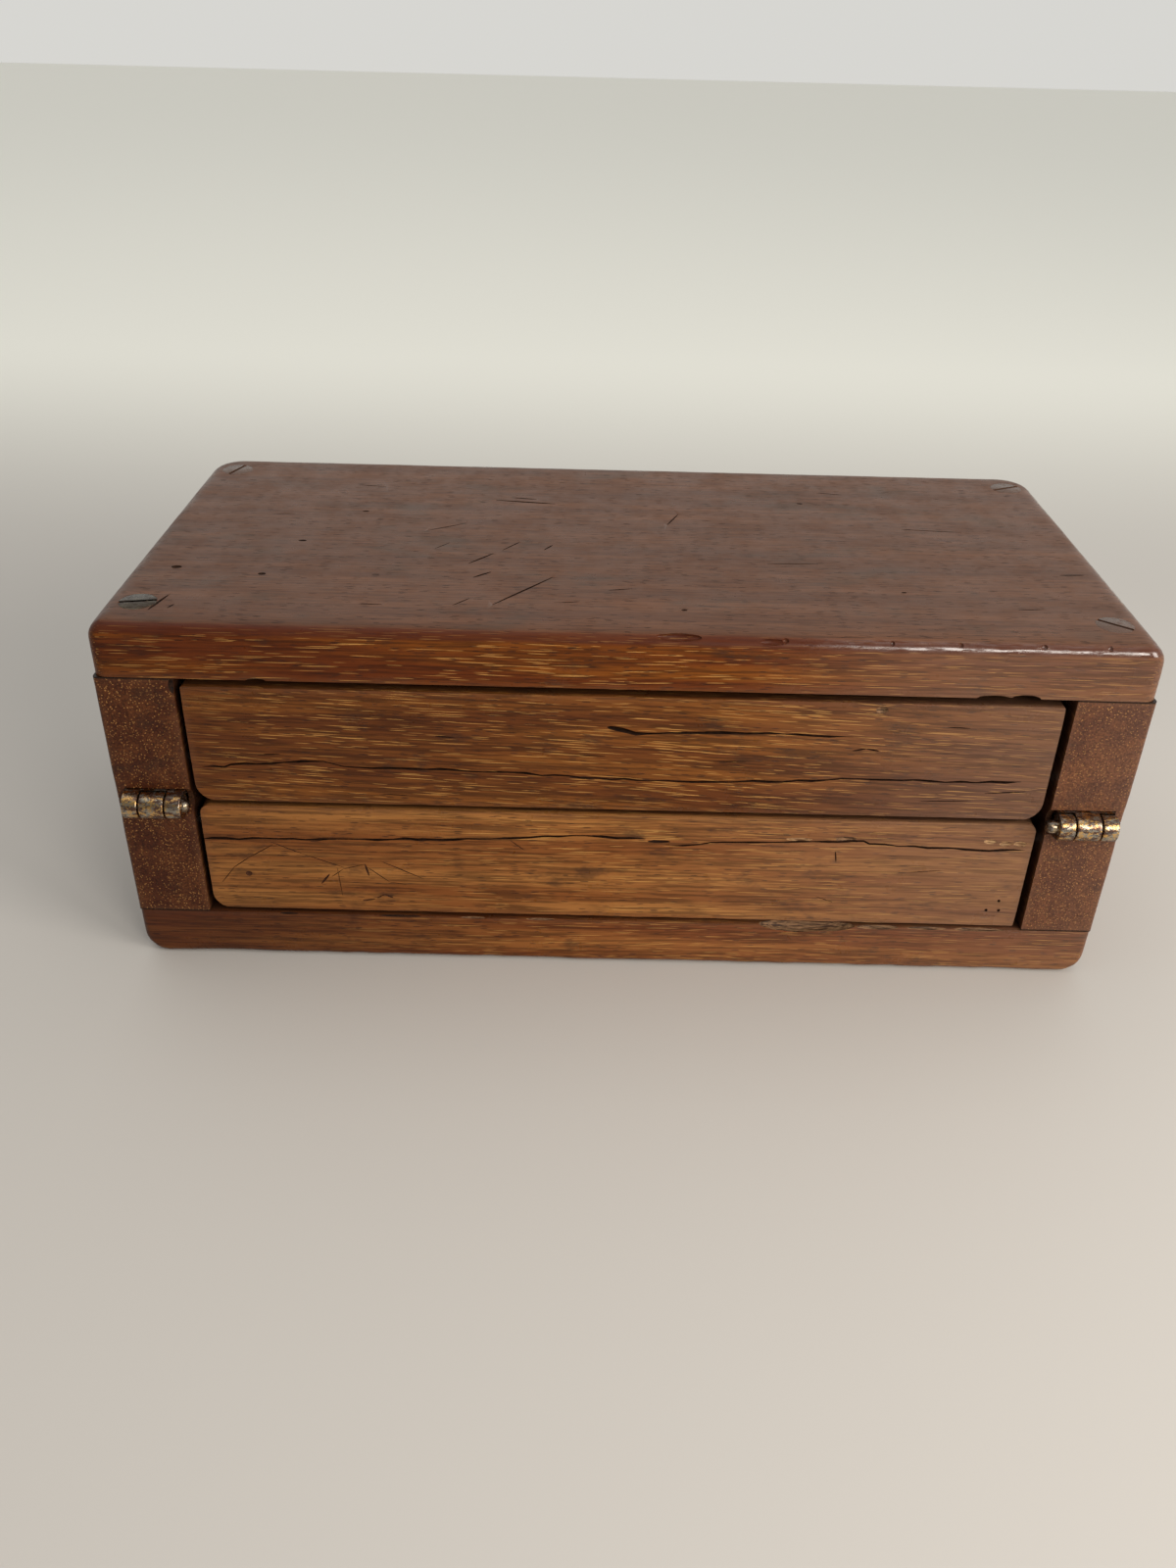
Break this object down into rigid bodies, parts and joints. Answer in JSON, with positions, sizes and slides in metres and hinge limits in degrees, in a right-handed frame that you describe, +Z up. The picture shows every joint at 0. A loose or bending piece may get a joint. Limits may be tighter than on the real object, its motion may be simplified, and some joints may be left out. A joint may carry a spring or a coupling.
{
  "type": "pick holder",
  "caption": "Folding hardwood case: two board-and-block halves on brass butt hinges, each with a thick block that swings up on a rod over shallow wells for picks.",
  "frame": {"origin": "centre of the underside of the bottom board's outline, on the surface it rests on", "axes": "+X to the right along the case's length with the hinges at the front, -Y towards the hinge side, +Z up"},
  "size_m": [0.254, 0.1294, 0.098],
  "materials": {
    "board_wood": "old polished mahogany, worn edges",
    "end_block_wood": "old polished mahogany, end grain to the front",
    "swing_wood": "old polished mahogany, rubbed",
    "hinge_brass": "tarnished, bright where rubbed",
    "board_screw_brass": "dark green-brown patina",
    "rod_steel": "drawn rod, dulled"
  },
  "bodies": {
    "lower_half": {"bottom_board": "board_wood", "bottom_board_screws": "board_screw_brass", "lower_pivot_rod": "rod_steel", "lower_left_end_block": "end_block_wood", "left_hinge_lower_plate": "hinge_brass", "left_hinge_lower_screws": "hinge_brass", "lower_right_end_block": "end_block_wood", "right_hinge_lower_plate": "hinge_brass", "right_hinge_lower_screws": "hinge_brass", "right_hinge_pin": "hinge_brass"},
    "upper_half": {"top_board": "board_wood", "top_board_screws": "board_screw_brass", "upper_pivot_rod": "rod_steel", "upper_left_end_block": "end_block_wood", "left_hinge_upper_plate": "hinge_brass", "left_hinge_upper_screws": "hinge_brass", "upper_right_end_block": "end_block_wood", "right_hinge_upper_plate": "hinge_brass", "right_hinge_upper_screws": "hinge_brass", "left_hinge_pin": "hinge_brass"},
    "lower_swing": {"lower_swing_block": "swing_wood"},
    "upper_swing": {"upper_swing_block": "swing_wood"}
  },
  "joints": [
    {"name": "case_fold", "type": "hinge", "parent": "lower_half", "child": "upper_half", "pos_m": [0, -0.064, 0.04899], "axis": [1, 0, 0], "range_deg": [0, 180]},
    {"name": "lower_block_lift", "type": "hinge", "parent": "lower_half", "child": "lower_swing", "pos_m": [0, -0.0545, 0.03959], "axis": [1, 0, 0], "range_deg": [0, 90]},
    {"name": "upper_block_lift", "type": "hinge", "parent": "upper_half", "child": "upper_swing", "pos_m": [0, -0.0545, 0.05839], "axis": [-1, 0, 0], "range_deg": [0, 90]}
  ],
  "couplings": [
    {"joint": "lower_block_lift", "follows": "case_fold", "ratio": 0.5},
    {"joint": "upper_block_lift", "follows": "case_fold", "ratio": 0.5}
  ]
}
